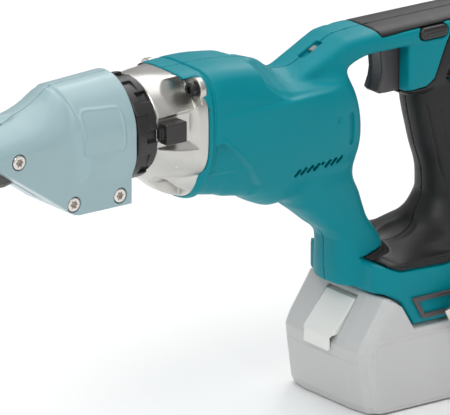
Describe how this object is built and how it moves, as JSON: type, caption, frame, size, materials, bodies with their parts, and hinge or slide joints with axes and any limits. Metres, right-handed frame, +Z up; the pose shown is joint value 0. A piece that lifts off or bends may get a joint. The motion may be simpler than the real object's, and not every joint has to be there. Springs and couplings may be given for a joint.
{
  "type": "cordless fibre cement shear",
  "caption": "Hand-held cordless shear for roofing and siding board: swivelling wedge head with a rocking blade, barrel motor housing, loop grip with trigger, slide-on battery and hanging hook.",
  "frame": {"origin": "middle of the flat underside of the battery, on the tool's middle plane", "axes": "-X points along the motor axis towards the blades, +Z points up, -Y points to the operator's left-hand side of the tool"},
  "size_m": [0.363, 0.0855, 0.209],
  "materials": {
    "head_paint": "satin grey-blue paint on cast metal",
    "cast_alloy": "bead-blasted casting with polished edges",
    "tool_steel": "dark ground tool steel",
    "bright_steel": "bright ground steel",
    "black_steel": "black oxide",
    "black_plastic": "fine matt moulding",
    "teal_plastic": "satin moulded nylon",
    "rubber": "matt overmoulded rubber",
    "grey_plastic": "satin moulding",
    "pale_plastic": "satin pale grey moulding",
    "white_plastic": "satin moulding",
    "lamination": "stacked electrical steel",
    "copper": "enamelled copper winding",
    "lens": "clear moulded lens",
    "board": "lacquered circuit board",
    "cell_wrap": "shrink wrap over cells"
  },
  "bodies": {
    "tool": {"gear_housing": "cast_alloy", "bearing_bulkhead": "cast_alloy", "crank_rear_bearing": "bright_steel", "motor_front_bearing": "bright_steel", "crank_front_bearing": "bright_steel", "motor_rear_bearing": "bright_steel", "stator": "copper", "sensor_board": "board", "gear_housing_screw_upper_left": "black_steel", "gear_housing_screw_upper_right": "black_steel", "gear_housing_screw_lower_left": "black_steel", "gear_housing_screw_lower_right": "black_steel", "housing_left": "teal_plastic", "housing_right": "teal_plastic", "grip_rubber_left": "rubber", "grip_rubber_right": "rubber", "housing_screw_1": "black_steel", "housing_screw_2": "black_steel", "housing_screw_3": "black_steel", "housing_screw_4": "black_steel", "housing_screw_5": "black_steel", "grip_screw": "black_steel", "switch_unit": "black_plastic", "lamp_lens": "lens", "motor_controller": "black_plastic", "terminal_block": "black_plastic", "foot_bumper_left": "grey_plastic", "foot_bumper_right": "grey_plastic", "hanging_hook": "bright_steel", "hook_screw": "black_steel"},
    "head": {"head_left_half": "head_paint", "head_right_half": "head_paint", "head_screw_pivot": "bright_steel", "head_screw_lower_front": "bright_steel", "head_screw_lower_rear": "bright_steel", "side_blade_left": "tool_steel", "side_blade_right": "tool_steel", "blade_pivot_bush": "bright_steel", "swivel_ring": "black_plastic"},
    "blade": {"centre_blade": "tool_steel"},
    "crank": {"crankshaft": "bright_steel", "crank_roller": "bright_steel", "drive_gear": "bright_steel"},
    "rotor": {"rotor_shaft": "bright_steel", "rotor_core": "lamination", "cooling_fan": "black_plastic"},
    "lock": {"head_lock_slider": "black_plastic"},
    "trigger": {"trigger": "grey_plastic"},
    "lock_off": {"lock_off_button": "black_plastic"},
    "battery": {"battery_case": "pale_plastic", "battery_cover": "pale_plastic", "cell_pack": "cell_wrap"},
    "battery_button": {"battery_release_button": "white_plastic"}
  },
  "joints": [
    {"name": "head_swivel", "type": "hinge", "parent": "tool", "child": "head", "pos_m": [-0.192, 0, 0.177], "axis": [1, 0, 0], "continuous": true},
    {"name": "blade_rock", "type": "hinge", "parent": "head", "child": "blade", "pos_m": [-0.2754, 0, 0.1775], "axis": [0, 1, 0], "range_deg": [-3, 3]},
    {"name": "crank_spin", "type": "hinge", "parent": "tool", "child": "crank", "pos_m": [-0.192, 0, 0.177], "axis": [1, 0, 0], "continuous": true},
    {"name": "rotor_spin", "type": "hinge", "parent": "tool", "child": "rotor", "pos_m": [-0.192, 0, 0.1554], "axis": [1, 0, 0], "continuous": true},
    {"name": "head_lock_slide", "type": "slide", "parent": "tool", "child": "lock", "axis": [1, 0, 0], "range_m": [0, 0.005], "stiffness_N_per_m": 400, "springref_m": -0.002},
    {"name": "trigger_pull", "type": "slide", "parent": "tool", "child": "trigger", "axis": [1, 0, 0], "range_m": [0, 0.006], "stiffness_N_per_m": 900, "springref_m": -0.003},
    {"name": "lock_off_push", "type": "slide", "parent": "tool", "child": "lock_off", "axis": [0, 1, 0], "range_m": [0, 0.004], "stiffness_N_per_m": 500, "springref_m": -0.002},
    {"name": "battery_slide", "type": "slide", "parent": "tool", "child": "battery", "axis": [-1, 0, 0], "range_m": [0, 0.11]},
    {"name": "release_button_press", "type": "slide", "parent": "battery", "child": "battery_button", "axis": [0, 0, -1], "range_m": [0, 0.0035], "stiffness_N_per_m": 600, "springref_m": -0.002}
  ],
  "couplings": [
    {"joint": "rotor_spin", "follows": "crank_spin", "ratio": -5}
  ]
}
